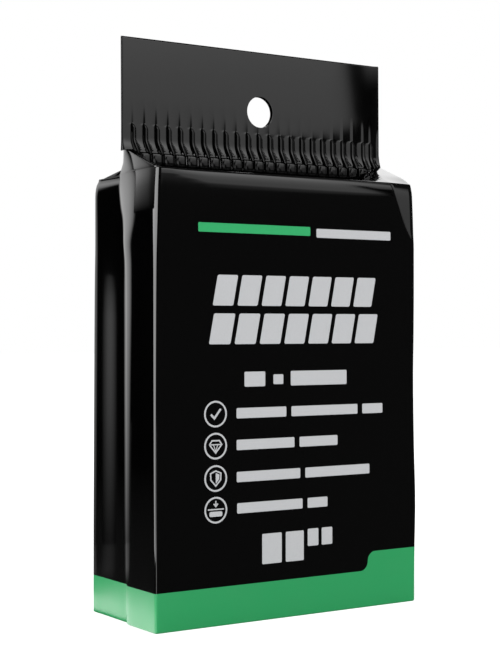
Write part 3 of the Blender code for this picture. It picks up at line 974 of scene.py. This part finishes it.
@dataclass
class Header:
    """The two-ply header: flared foot, crimp ribs and the flat tab with its hang hole.

    A place beside a rib is the distance from the rib's middle, less than zero to its left.
    """

    web: FilmWeb
    fold_z: float
    hole_z: float
    hole_radius: float = 4.6
    hole_x: float = 0.9
    wall: float = 0.16
    fold_reach: float = 1.2
    crease_angle: float = 82.0
    near: tuple[float, ...] = (-1.7, -1.35, -1.18, -1.04, -0.92, -0.8, -0.7, -0.62, -0.5, -0.2,
                               -0.05, 0.07, 0.17, 0.27, 0.37, 0.47, 0.57, 0.68, 1.2, 1.75)

    # Ribs: flanks, slanted cap, the toe to the left of each, and the foot that turns right.
    rib_top: float = 140.75
    rib_height: float = 0.2
    rib_aside: float = 1.1
    rib_reach: float = 3.03
    left_flank: tuple[float, float] = (-1.18, -0.64)
    right_flank: tuple[float, float] = (-0.05, 0.62)
    cap_half_width: float = 0.6
    cap_slope: float = 1.15
    cap_return: float = -1.5
    cap_blend: tuple[float, float] = (-0.25, 0.35)
    toe_rise: float = 0.13
    toe_run: float = 2.1
    foot_top: float = 136.6
    foot_run: float = 3.4
    foot_shift: float = 0.95
    foot_widening: float = 0.3
    foot_swell: float = 0.4

    # Hollow beside each rib: where it is deepest, where it ends and how it runs out.
    hollow_depth: float = 0.15
    hollow_deepest: float = -1.1
    hollow_rim: float = -0.2
    hollow_run_out: float = 6.5
    hollow_fade: tuple[float, float] = (0, 40)
    hollow_loss: float = 0.75

    # Foot: the tongues that hang between the pleats, and the plies that close at the sides.
    foot_height: float = 1.5
    foot_power: float = 1.5
    tip_spans: Spans = ((-1.8, -0.1), (0.05, 0.6))
    tip_drop: float = 0.95
    notch_rise: float = 0.1
    notch_from: float = 0.3
    tip_flare: float = 0.3
    side_drop: float = 0.3
    closing: float = 0.62
    closing_span: tuple[float, float] = (37.5, 45.3)

    def beside_rib(self, x: np.ndarray, foot: np.ndarray) -> np.ndarray:
        """Place beside the rib that each point belongs to."""
        shift = self.foot_shift * foot**1.6
        away = (x - shift)[..., None] - self.web.rib_places()
        rib = np.argmin(np.abs(away + self.rib_aside), axis=-1)[..., None]
        return np.take_along_axis(away, rib, axis=-1)[..., 0]

    def hollow(self, x: np.ndarray, z: np.ndarray, place: np.ndarray) -> np.ndarray:
        """How far the film is drawn in beside a rib. The hollow runs out above the rib."""
        pitch, rim, deepest = self.web.rib_pitch, self.hollow_rim, self.hollow_deepest
        run = pitch + deepest - rim
        slow = np.where(place > rim, place - rim, place - rim + pitch) / run
        fast = 1 - smoothstep(deepest, rim, place)
        depth = np.where((place > deepest) & (place < rim), fast, slow)
        depth = depth * (1 - self.hollow_loss * smoothstep(*self.hollow_fade, x))
        run_out = np.clip(1 - (z - self.rib_top) / self.hollow_run_out, 0, 1)
        return self.hollow_depth * depth * run_out

    def rib_profile(self, x: np.ndarray, z: np.ndarray) -> tuple[np.ndarray, np.ndarray]:
        """Shape of the crimp ribs.

        Args:
            x: X of each point.
            z: Z of each point.

        Returns:
            How far each point stands out of the header, and its place beside the rib.
        """
        foot = np.clip((self.foot_top - z) / self.foot_run, 0, 1)
        place = self.beside_rib(x, foot)
        low, high = self.left_flank
        left = smoothstep(low - self.foot_widening * foot**2, high, place)
        right = 1 - smoothstep(*self.right_flank, place)
        # The rib's top slants down from its left flank to its right one.
        half = self.cap_half_width
        back_up = half - 2 * half * smoothstep(-self.rib_reach, self.cap_return, place)
        slanted = np.where(place < self.cap_return, back_up, np.clip(place, -half, half))
        top = self.rib_top - self.cap_slope * (slanted + half)
        toe = self.toe_rise * np.clip((place + self.rib_reach) / self.toe_run, 0, 1) ** 3
        rib = ((self.rib_height + self.foot_swell * foot**2) * left + toe) * right
        under = 1 - smoothstep(*self.cap_blend, z - top)
        return rib * under - self.hollow(x, z, place), place

    def shape(self, points: np.ndarray) -> np.ndarray:
        """Raise the ribs, close the plies at the side seams and scallop the foot.

        Args:
            points: Rows of the web's points, as its outlines give them.

        Returns:
            The same rows, moved.
        """
        x, y, z, panel, lane, share = points
        web = self.web
        front = panel == Panel.FRONT.value
        facing = front | (panel == Panel.BACK.value)
        sign = np.where(front, -1.0, np.where(facing, 1.0, 0.0))
        ribs, place = self.rib_profile(x, z)
        y = y + sign * ribs
        low = np.clip(1 - (z - web.skirt_z) / self.foot_height, 0, 1) ** self.foot_power
        drop = window(*self.tip_spans, place)
        y = y + sign * self.tip_flare * drop * low
        fall = self.tip_drop * drop - self.notch_rise * (place > self.notch_from)
        z = z - low * np.where(facing, fall, self.side_drop)
        closing = self.closing * smoothstep(*self.closing_span, np.abs(x))
        plane = web.header_y - web.header_half_thickness
        y = plane + (y - plane) * np.where(y > plane, 1 - closing, 1)
        return np.array([x, y, z, panel, lane, share])

    def build(self, material: bpy.types.Material) -> bpy.types.Object:
        """Make the header film.

        Args:
            material: The film's finish.

        Returns:
            The finished piece.
        """
        web = self.web
        places = web.columns(self.near)
        points = np.array([web.outline(row, places) for row in web.header_rows()])
        points = self.shape(points.transpose(1, 0, 2))
        piece = film_tube("header_skin", points[0], points[1], points[2], close_bottom=False,
                          close_top=True)
        piece.data.materials.append(material)
        apply_modifier(piece, "SOLIDIFY", thickness=self.wall * MM, offset=-1)
        self.punch(piece)
        activate(piece)
        bpy.ops.object.shade_smooth_by_angle(angle=math.radians(self.crease_angle))
        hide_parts("crimp_seal", "header_tab")
        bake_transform(piece)
        return piece

    def punch(self, piece: bpy.types.Object) -> None:
        """Punch the hang hole through both plies."""
        deselect_all()
        bpy.ops.mesh.primitive_cylinder_add(
            vertices=64, radius=self.hole_radius * MM, depth=0.02,
            location=(self.hole_x * MM, self.web.header_y * MM, self.hole_z * MM),
            rotation=(0.5 * math.pi, 0, 0),
        )
        tool = bpy.context.object
        settle(tool)
        apply_modifier(piece, "BOOLEAN", operation="DIFFERENCE", object=tool, solver="EXACT")
        bpy.data.objects.remove(tool, do_unlink=True)


@dataclass
class PrintWork:
    """Ink on the front panel: plain blocks, bars and ringed pictograms, in millimetres."""

    panel_y: float
    thickness: float = 0.03
    lift: float = 0.02
    ring_outer: float = 3.7
    ring_inner: float = 3.2

    def plate(self, name: str, corners: Sequence[tuple[float, float]], radius: float = 0.0,
              steps: int = 4) -> bpy.types.Object:
        """A flat inked shape with rounded corners.

        Args:
            name: The piece's name.
            corners: X and Z of its corners, counter-clockwise seen from the front.
            radius: The radius of its corners.
            steps: Segments in each rounded corner.

        Returns:
            The new piece, on the panel's plane.
        """
        deselect_all()
        bpy.ops.mesh.primitive_circle_add(vertices=len(corners), radius=MM, fill_type="NGON")
        piece = bpy.context.object
        piece.name = name
        for vertex, (x, z) in zip(piece.data.vertices, corners):
            vertex.co = (x * MM, self.panel_y * MM, z * MM)
        activate(piece)
        if radius > 0:
            bpy.ops.object.mode_set(mode="EDIT")
            bpy.ops.mesh.select_all(action="SELECT")
            bpy.ops.mesh.bevel(offset=radius * MM, segments=steps, affect="VERTICES")
            bpy.ops.object.mode_set(mode="OBJECT")
        return piece

    def ring(self, name: str, x: float, z: float, points: int = 64) -> bpy.types.Object:
        """The flat inked ring round a pictogram."""
        deselect_all()
        bpy.ops.mesh.primitive_circle_add(
            vertices=points, radius=self.ring_outer * MM,
            location=(x * MM, self.panel_y * MM, z * MM), rotation=(0.5 * math.pi, 0, 0),
        )
        piece = bpy.context.object
        piece.name = name
        settle(piece)
        bpy.ops.object.mode_set(mode="EDIT")
        bpy.ops.mesh.select_all(action="SELECT")
        bpy.ops.mesh.extrude_edges_move()
        bpy.ops.transform.resize(
            value=(self.ring_inner / self.ring_outer,) * 3,
            center_override=(x * MM, self.panel_y * MM, z * MM),
        )
        bpy.ops.object.mode_set(mode="OBJECT")
        return piece

    def stroke(self, name: str, path: Sequence[tuple[float, float]],
               width: float) -> bpy.types.Object:
        """A line of even width through the points, with mitred turns."""
        points = [Vector(p) for p in path]
        left, right = [], []
        for i, point in enumerate(points):
            before = (point - points[i - 1]).normalized() if i else None
            after = (points[i + 1] - point).normalized() if i + 1 < len(points) else None
            way = ((before or after) + (after or before)).normalized()
            normal = Vector((-way.y, way.x))
            reach = width / 2 / max(0.3, abs(way.dot(after or before)))
            left.append(point + normal * reach)
            right.append(point - normal * reach)
        return self.plate(name, [tuple(p) for p in left + right[::-1]])

    def bar(self, name: str, left: float, right: float, middle: float, height: float,
            slant: float = 0.0, radius: float = 0.35) -> bpy.types.Object:
        """A bar or a slanted block."""
        low, high = middle - height / 2, middle + height / 2
        lean = slant * height / 2
        corners = [(left - lean, low), (right - lean, low), (right + lean, high),
                   (left + lean, high)]
        return self.plate(name, corners, radius)

    def tick(self, x: float, z: float) -> list[bpy.types.Object]:
        """A tick."""
        path = ((x - 1.5, z - 0.1), (x - 0.4, z - 1.2), (x + 1.7, z + 1.4))
        return [self.stroke("tick", path, 0.6)]

    def gem(self, x: float, z: float) -> list[bpy.types.Object]:
        """A cut gem seen from the side."""
        rim = ((x - 2, z + 0.4), (x - 1.2, z + 1.5), (x + 1.2, z + 1.5), (x + 2, z + 0.4),
               (x, z - 1.9), (x - 2, z + 0.4))
        return [
            self.stroke("gem_rim", rim, 0.4),
            self.stroke("gem_girdle", ((x - 1.8, z + 0.4), (x + 1.8, z + 0.4)), 0.3),
            self.stroke("gem_facet", ((x - 0.7, z + 0.4), (x, z - 1.5), (x + 0.7, z + 0.4)), 0.25),
        ]

    def shield(self, x: float, z: float) -> list[bpy.types.Object]:
        """A shield with its right half filled."""
        rim = ((x, z + 2.1), (x + 1.7, z + 1.4), (x + 1.6, z - 0.4), (x, z - 2.1),
               (x - 1.6, z - 0.4), (x - 1.7, z + 1.4), (x, z + 2.1))
        half = ((x, z - 1.5), (x + 1.1, z - 0.2), (x + 1.2, z + 1.1), (x, z + 1.5))
        return [self.stroke("shield_rim", rim, 0.4), self.plate("shield_half", half)]

    def tray(self, x: float, z: float) -> list[bpy.types.Object]:
        """An arrow over an open tray."""
        return [
            self.bar("tray_body", x - 2.1, x + 2.1, z - 1.1, 1.4, radius=0.45),
            self.stroke("tray_rim", ((x - 2.6, z + 0.2), (x + 2.6, z + 0.2)), 0.35),
            self.stroke("arrow_shaft", ((x, z + 2.6), (x, z + 1.2)), 0.35),
            self.stroke("arrow_head", ((x - 0.7, z + 1.8), (x, z + 1.0), (x + 0.7, z + 1.8)), 0.35),
        ]

    def join(self, name: str, parts: Iterable[bpy.types.Object], material: bpy.types.Material,
             skin: bpy.types.Object) -> bpy.types.Object:
        """Join inked shapes, lay them on the film and give the ink its thickness.

        Args:
            name: The joined piece's name.
            parts: The shapes.
            material: The ink.
            skin: The film that carries them.

        Returns:
            The finished piece.
        """
        parts = list(parts)
        deselect_all()
        for part in parts:
            part.select_set(True)
        bpy.context.view_layer.objects.active = parts[0]
        bpy.ops.object.join()
        piece = bpy.context.object
        piece.name = name
        piece.data.name = name
        piece.data.materials.clear()
        piece.data.materials.append(material)
        bpy.ops.object.mode_set(mode="EDIT")
        bpy.ops.mesh.select_all(action="SELECT")
        bpy.ops.mesh.quads_convert_to_tris()
        bpy.ops.mesh.subdivide(number_cuts=1)
        bpy.ops.object.mode_set(mode="OBJECT")
        apply_modifier(piece, "SHRINKWRAP", target=skin, wrap_method="PROJECT",
                       offset=self.lift * MM, use_project_y=True, use_positive_direction=True,
                       use_negative_direction=True, wrap_mode="ABOVE_SURFACE")
        activate(piece)
        bpy.ops.object.mode_set(mode="EDIT")
        bpy.ops.mesh.select_all(action="SELECT")
        bpy.ops.mesh.normals_make_consistent(inside=False)
        bpy.ops.object.mode_set(mode="OBJECT")
        apply_modifier(piece, "SOLIDIFY", thickness=self.thickness * MM, offset=0)
        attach(piece, "pouch")
        return piece


@dataclass(frozen=True)
class ReflectionCard:
    """A bright card beside the pack that shows in its gloss alone.

    Its brightness is one curve of height times one curve of the place along it, both in
    millimetres. The second curve moves along by slant for each millimetre of height, and lies in
    place at slant_height. Above that it comes back by slant_back times as much, or runs straight
    on where slant_back is -1.
    """

    name: str
    azimuth: float
    distance: float
    heights: Stops
    widths: Stops
    slant: float = 0.0
    slant_height: float = 0.0
    slant_back: float = 0.5

    def ramp(self, tree: bpy.types.NodeTree, value: Any, stops: Stops) -> Any:
        """A brightness that follows a place in millimetres through the stops."""
        low, high = stops[0][0], stops[-1][0]
        share = map_range(tree, value, low * MM, high * MM)
        curve = add_node(tree, "FloatCurve", {"Value": share})
        peak = max(stop[1] for stop in stops)
        points = curve.mapping.curves[0].points
        places = [((s - low) / (high - low), v / peak) for s, v in stops]
        points[0].location = places[0]
        points[-1].location = places[-1]
        for place in places[1:-1]:
            points.new(*place)
        for point in points:
            point.handle_type = "VECTOR"
        curve.mapping.update()
        return math_node(tree, "MULTIPLY", curve.outputs[0], peak)

    def build(self) -> bpy.types.Object:
        """Stand the card up and light it."""
        angle = math.radians(self.azimuth)
        away = Vector((math.cos(angle), math.sin(angle), 0))
        along = Vector((-math.sin(angle), math.cos(angle), 0))
        deselect_all()
        bpy.ops.mesh.primitive_plane_add(size=1.0)
        card = bpy.context.object
        card.name = self.name
        left, right = self.widths[0][0], self.widths[-1][0]
        bottom, top = self.heights[0][0], self.heights[-1][0]
        spots = ((left, bottom), (right, bottom), (left, top), (right, top))
        for vertex, (side, height) in zip(card.data.vertices, spots):
            vertex.co = (away * self.distance + along * side) * MM + Vector((0, 0, height * MM))
        material, tree, output = new_material(self.name)
        place = add_node(tree, "TexCoord").outputs["Object"]
        lateral = add_node(tree, "VectorMath", {0: place, 1: tuple(along)},
                           operation="DOT_PRODUCT").outputs["Value"]
        height = add_node(tree, "SeparateXYZ", {0: place}).outputs["Z"]
        if self.slant:
            above = math_node(tree, "SUBTRACT", height, self.slant_height * MM)
            turned = math_node(tree, "MULTIPLY", above, -self.slant_back)
            above = math_node(tree, "MINIMUM", above, turned)
            lateral = math_node(tree, "MULTIPLY_ADD", above, self.slant, lateral)
        up = self.ramp(tree, height, self.heights)
        across = self.ramp(tree, lateral, self.widths)
        strength = math_node(tree, "MULTIPLY", up, across)
        light = add_node(tree, "Emission", {"Strength": strength})
        tree.links.new(light.outputs[0], output.inputs["Surface"])
        card.data.materials.append(material)
        show_in_gloss_alone(card)
        return card


def show_in_gloss_alone(item: bpy.types.Object) -> None:
    """Let a stage piece be seen in reflections only."""
    item.visible_camera = False
    item.visible_diffuse = False
    item.visible_transmission = False
    item.visible_volume_scatter = False
    item.visible_shadow = False


CARDS = (
    ReflectionCard(
        "front_card", azimuth=-57, distance=600,
        heights=((188, 0.2), (202, 0.52), (208, 0.92), (214, 1.03), (235, 1.08), (262, 1.2),
                 (350, 1.9), (430, 2.6), (500, 2.4), (560, 1.8), (700, 1.6), (760, 0.5),
                 (800, 0.0)),
        widths=((-330, 0.0), (-290, 0.06), (-240, 0.3), (-190, 0.6), (-150, 0.9), (-110, 1.02),
                (-30, 1.0), (49.3, 1.0), (56.8, 0.97), (61.3, 0.85), (65.3, 0.52), (66.7, 0.36),
                (67.2, 0.0), (85, 0.0)),
        slant=0.114, slant_height=276, slant_back=1.5,
    ),
    ReflectionCard(
        "front_end_card", azimuth=-57, distance=598,
        heights=((252, 0.0), (257, 0.08), (262.5, 0.3), (269.5, 0.75), (277, 1.0), (300, 1.3),
                 (350, 1.9), (430, 2.4), (480, 1.2), (530, 0.0)),
        widths=((72, 0.0), (76.4, 0.0), (76.8, 0.8), (80, 1.0), (115, 0.9), (140, 0.0)),
        slant=0.114, slant_height=276, slant_back=-1.0,
    ),
    ReflectionCard(
        "back_left_card", azimuth=105, distance=170,
        heights=((0, 0.16), (2, 0.17), (17, 0.33), (36, 0.52), (56, 0.72), (96, 1.0),
                 (136, 1.2), (420, 1.25)),
        widths=((-60, 1.4), (48, 1.4), (58, 1.2), (65, 0.85), (69, 0.3), (72, 0.0)),
    ),
    ReflectionCard(
        "left_card", azimuth=176, distance=170,
        heights=((0, 5.0), (60, 5.6), (133, 6.2), (420, 6.2)),
        widths=((-78, 0.0), (-74, 1.0), (100, 1.0), (108, 0.0)),
    ),
    ReflectionCard(
        "near_left_card", azimuth=180, distance=50,
        heights=((116.5, 0.0), (120, 0.5), (124, 1.0), (129, 2.2), (140, 3.0)),
        widths=((-6, 0.0), (-5, 0.9), (3, 0.5), (10, 0.16), (15, 0.12)),
    ),
    ReflectionCard(
        "far_card", azimuth=50, distance=400,
        heights=((222, 0.0), (232, 2.2), (560, 2.2), (600, 0.0)),
        widths=((-150, 1.0), (150, 1.0)),
    ),
    ReflectionCard(
        "right_card", azimuth=-30, distance=650,
        heights=((186, 0.0), (204, 0.7), (300, 1.0), (420, 1.2), (700, 1.2), (800, 0.6)),
        widths=((-130, 0.0), (-115, 1.0), (-40, 1.0), (-20, 0.0)),
    ),
)


@dataclass
class Studio:
    """Floor, world, lamps, reflection cards and camera. Lengths are in millimetres."""

    camera_place: tuple[float, float, float] = (-242.9, -370.2, 80.76)
    camera_yaw: float = -33.11
    camera_pitch: float = -0.117
    camera_roll: float = -0.238
    focal_pixels: float = 1481.9
    image_height: int = 666
    sensor: float = 36.0
    surround_on_matt: float = 0.8
    floor_lift: float = 0.5
    lamp_size: float = 900.0
    lamp_aim: tuple[float, float, float] = (0, 0, 80)
    tent_radius: float = 900.0
    tent_height: float = 1600.0
    tent_glow: float = 0.055
    tent_glow_span: tuple[float, float] = (-300, 0)
    tent_foot: float = 10

    # Painted light on the cloth under the pack's left side: where it springs from, the turn, reach
    # and side at which its far part begins, and where its near part begins and ends.
    spill_place: tuple[float, float, float] = (-44, 8, 0)
    far_spill: float = 0.3
    far_turn: tuple[float, float] = (117, 112)
    far_least_turn: float = 65
    far_reach: tuple[float, float] = (60, 90)
    near_spill: float = 3.0
    near_side: tuple[float, float] = (-32, -20)
    near_end: float = -1
    near_depth: tuple[float, float] = (45, 30)

    def camera(self) -> None:
        """Stand the camera where the photograph was taken from."""
        yaw, pitch, roll = (math.radians(v) for v in
                            (self.camera_yaw, self.camera_pitch, self.camera_roll))
        ahead = Vector((-math.sin(yaw) * math.cos(pitch), math.cos(yaw) * math.cos(pitch),
                        -math.sin(pitch)))
        level = Vector((math.cos(yaw), math.sin(yaw), 0))
        above = level.cross(ahead)
        right = math.cos(roll) * level + math.sin(roll) * above
        up = -math.sin(roll) * level + math.cos(roll) * above
        data = bpy.data.cameras.new("camera")
        data.sensor_width = self.sensor
        data.lens = self.focal_pixels / self.image_height * self.sensor
        data.clip_start = 0.01
        camera = bpy.data.objects.new("camera", data)
        turn = Matrix((right, up, -ahead)).transposed()
        camera.matrix_world = Matrix.Translation(Vector(self.camera_place) * MM) @ turn.to_4x4()
        bpy.context.scene.collection.objects.link(camera)
        bpy.context.scene.camera = camera

    def world(self) -> None:
        """A white surround that is plain daylight on matt surfaces."""
        world = bpy.data.worlds.new("white_surround")
        bpy.context.scene.world = world
        world.use_nodes = True
        tree = world.node_tree
        tree.nodes.clear()
        rays = add_node(tree, "LightPath").outputs
        seen = math_node(tree, "MAXIMUM", rays["Is Camera Ray"], rays["Is Glossy Ray"])
        seen = math_node(tree, "MAXIMUM", seen, rays["Is Transmission Ray"])
        strength = map_range(tree, seen, 0.0, 1.0, self.surround_on_matt, 1.0)
        background = add_node(tree, "Background", {"Color": (1, 1, 1, 1), "Strength": strength})
        output = add_node(tree, "OutputWorld")
        tree.links.new(background.outputs[0], output.inputs["Surface"])

    def floor(self) -> None:
        """A plain pale floor that keeps the shadow and runs out into the white surround."""
        deselect_all()
        bpy.ops.mesh.primitive_plane_add(size=12.0)
        floor = bpy.context.object
        floor.name = "floor"
        # Matt pale board: no shine of its own, and lifted until it is as bright as the surround.
        material, tree, output = new_material("pale_floor")
        shader = add_node(tree, "BsdfPrincipled", {
            "Base Color": linear("e6e6e6"), "Roughness": 0.9, "Specular IOR Level": 0.0,
        })
        rays = add_node(tree, "LightPath").outputs
        lift = math_node(tree, "MULTIPLY", rays["Is Camera Ray"], self.floor_lift)
        glow = add_node(tree, "Emission", {"Strength": lift})
        both = add_node(tree, "AddShader", {0: shader.outputs[0], 1: glow.outputs[0]})
        tree.links.new(both.outputs[0], output.inputs["Surface"])
        floor.data.materials.append(material)

    def lamp(self, name: str, place: tuple[float, float, float], power: float) -> None:
        """A large soft lamp that points at the pack and stays out of its gloss."""
        data = bpy.data.lights.new(name, "AREA")
        data.size = self.lamp_size * MM
        data.energy = power
        lamp = bpy.data.objects.new(name, data)
        spot = Vector(place) * MM
        aim = Vector(self.lamp_aim) * MM - spot
        turn = aim.to_track_quat("-Z", "Y").to_matrix().to_4x4()
        lamp.matrix_world = Matrix.Translation(spot) @ turn
        lamp.visible_glossy = False
        bpy.context.scene.collection.objects.link(lamp)

    def tent(self) -> None:
        """Dark cloth round, over and under the pack, seen in its gloss alone."""
        deselect_all()
        bpy.ops.mesh.primitive_cylinder_add(
            vertices=64, radius=self.tent_radius * MM, depth=self.tent_height * MM,
            location=(0, 0, (self.tent_height / 2 + 0.2) * MM), end_fill_type="NGON",
        )
        cloth = bpy.context.object
        cloth.name = "dark_cloth"
        settle(cloth)
        material, tree, output = new_material("black_cloth")
        place = add_node(tree, "TexCoord").outputs["Object"]
        parts = add_node(tree, "SeparateXYZ", {0: place}).outputs
        # Painted light: the cloth glows a little at the right and not at all at the left.
        span = (v * MM for v in self.tent_glow_span)
        glow = map_range(tree, parts["X"], *span, 0.0, self.tent_glow)
        under = math_node(tree, "LESS_THAN", parts["Z"], self.tent_foot * MM)
        spill = math_node(tree, "MULTIPLY_ADD", self.spill(tree, place), under, glow)
        # The cloth's glow and spill are painted light, emitted by the cloth itself rather than cast
        # by the lamps.
        painted_cloth_glow = add_node(tree, "Emission", {"Strength": spill})
        tree.links.new(painted_cloth_glow.outputs[0], output.inputs["Surface"])
        cloth.data.materials.append(material)
        show_in_gloss_alone(cloth)

    def spill(self, tree: bpy.types.NodeTree, place: Any) -> Any:
        """Painted light on the cloth under the pack's left side, standing in for the cards' spill.
        """
        source = tuple(v * MM for v in self.spill_place)
        from_side = add_node(tree, "VectorMath", {0: place, 1: source}, operation="SUBTRACT")
        parts = add_node(tree, "SeparateXYZ", {0: from_side.outputs[0]}).outputs
        reach = add_node(tree, "VectorMath", {0: from_side.outputs[0]}, operation="LENGTH")
        turn = math_node(tree, "ARCTAN2", parts["Y"], parts["X"])
        far = math_node(
            tree, "MULTIPLY",
            map_range(tree, turn, *(math.radians(v) for v in self.far_turn), 0.0, self.far_spill),
            map_range(tree, reach.outputs["Value"], *(v * MM for v in self.far_reach)),
        )
        behind = math_node(tree, "GREATER_THAN", turn, math.radians(self.far_least_turn))
        far = math_node(tree, "MULTIPLY", far, behind)
        near = math_node(
            tree, "MULTIPLY",
            map_range(tree, parts["X"], *(v * MM for v in self.near_side)),
            math_node(tree, "LESS_THAN", parts["X"], self.near_end * MM),
        )
        close = map_range(tree, parts["Y"], *(v * MM for v in self.near_depth))
        near = math_node(tree, "MULTIPLY", near, close)
        return math_node(tree, "MULTIPLY_ADD", near, self.near_spill, far)

    def build(self) -> None:
        """Set the whole studio up."""
        bpy.context.scene.view_settings.view_transform = "Standard"
        self.camera()
        self.world()
        self.floor()
        self.lamp("key_lamp", (-1300, -500, 1100), 16)
        self.lamp("fill_lamp", (700, -1200, 900), 7)
        self.tent()
        for card in CARDS:
            card.build()


def dress_cad_nodes(clear: bpy.types.Material, film: bpy.types.Material) -> None:
    """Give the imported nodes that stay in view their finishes.

    Args:
        clear: The sheets' finish.
        film: The film's finish.
    """
    for name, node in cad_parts.items():
        finish = clear if name.startswith("card_holder") else film
        for slot in node.material_slots:
            slot.material = finish
        if not node.material_slots:
            node.data.materials.append(finish)


def film_web() -> FilmWeb:
    """The film's rest shape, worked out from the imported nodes."""
    tab_low, tab_high = node_box("header_tab")
    return FilmWeb(
        half_depth=19.75, height=127.0,
        header_half_width=tab_high.x, header_y=(tab_low.y + tab_high.y) / 2,
        header_half_thickness=(tab_high.y - tab_low.y) / 2,
        top_z=tab_high.z - 0.3,
    )


def print_front(skin: bpy.types.Object, grey: bpy.types.Material,
                green: bpy.types.Material) -> None:
    """Ink the front panel: headline blocks, bars for the lines, and four ringed pictograms.

    Args:
        skin: The film that carries the ink.
        grey: The ink of most shapes.
        green: The ink of the first bar.
    """
    work = PrintWork(panel_y=-21.5)
    shapes = []
    gap, count = 1.4, 7
    for row, (left, right, middle) in enumerate(((-25.9, 29.6, 93.6), (-27.2, 30.3, 82.8))):
        pitch = (right - left + gap) / count
        for i in range(count):
            start = left + i * pitch
            shapes.append(work.bar(f"block_{row}_{i}", start, start + pitch - gap, middle, 8.6,
                                   slant=0.2, radius=0.5))
    bars = (
        (-16.4, -9.4, 68.6, 4.2), (-6.6, -3.2, 68.4, 2.8), (-0.6, 19.4, 68.6, 4.2),
        (-19.1, -2.2, 59.1, 2.9), (-0.4, 23.4, 59.1, 2.9), (25.2, 32.8, 59.1, 2.9),
        (-19.1, 0.6, 50.2, 2.9), (2.4, 16.0, 50.2, 2.9),
        (-19.1, 2.6, 41.2, 2.9), (4.4, 27.8, 41.2, 2.9),
        (-19.0, 3.4, 32.4, 2.9), (5.2, 12.3, 32.4, 2.9),
        (-10.6, -3.9, 20.3, 8.6), (-2.5, 3.8, 20.3, 8.6), (5.2, 9.0, 22.4, 5.0),
        (10.2, 14.0, 22.4, 5.0),
        (8.8, 36.2, 110.6, 2.6),
    )
    for i, (left, right, middle, height) in enumerate(bars):
        shapes.append(work.bar(f"bar_{i}", left, right, middle, height))
    marks = (work.tick, work.gem, work.shield, work.tray)
    column = -26.0
    for i, (z, mark) in enumerate(zip((59.1, 50.2, 41.2, 32.4), marks)):
        shapes.append(work.ring(f"ring_{i}", column, z))
        shapes.extend(mark(column, z))
    work.join("print_grey", shapes, grey, skin)
    greens = [work.bar("bar_lead", -31.3, 6.6, 111.0, 2.6)]
    work.join("print_green", greens, green, skin)


def main() -> None:
    """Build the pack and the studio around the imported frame."""
    logging.basicConfig(level=logging.INFO, format="%(name)s: %(message)s")
    Studio().build()
    LOG.info("studio and camera stand")
    film = PrintedFilm().build()
    clear = ClearSheet().build()
    grey = Ink("grey_ink", "b5b6b8").build()
    green = Ink("green_ink", "34a063").build()
    dress_cad_nodes(clear, film)
    LOG.info("packed nodes dressed")
    web = film_web()
    skin = Pouch(web).build(film)
    LOG.info("pouch skin: %d faces", len(skin.data.polygons))
    header = Header(web, fold_z=141.3, hole_z=147.4).build(film)
    LOG.info("header skin: %d faces", len(header.data.polygons))
    print_front(skin, grey, green)
    LOG.info("front printed")
    deselect_all()


if __name__ == "__main__":
    main()
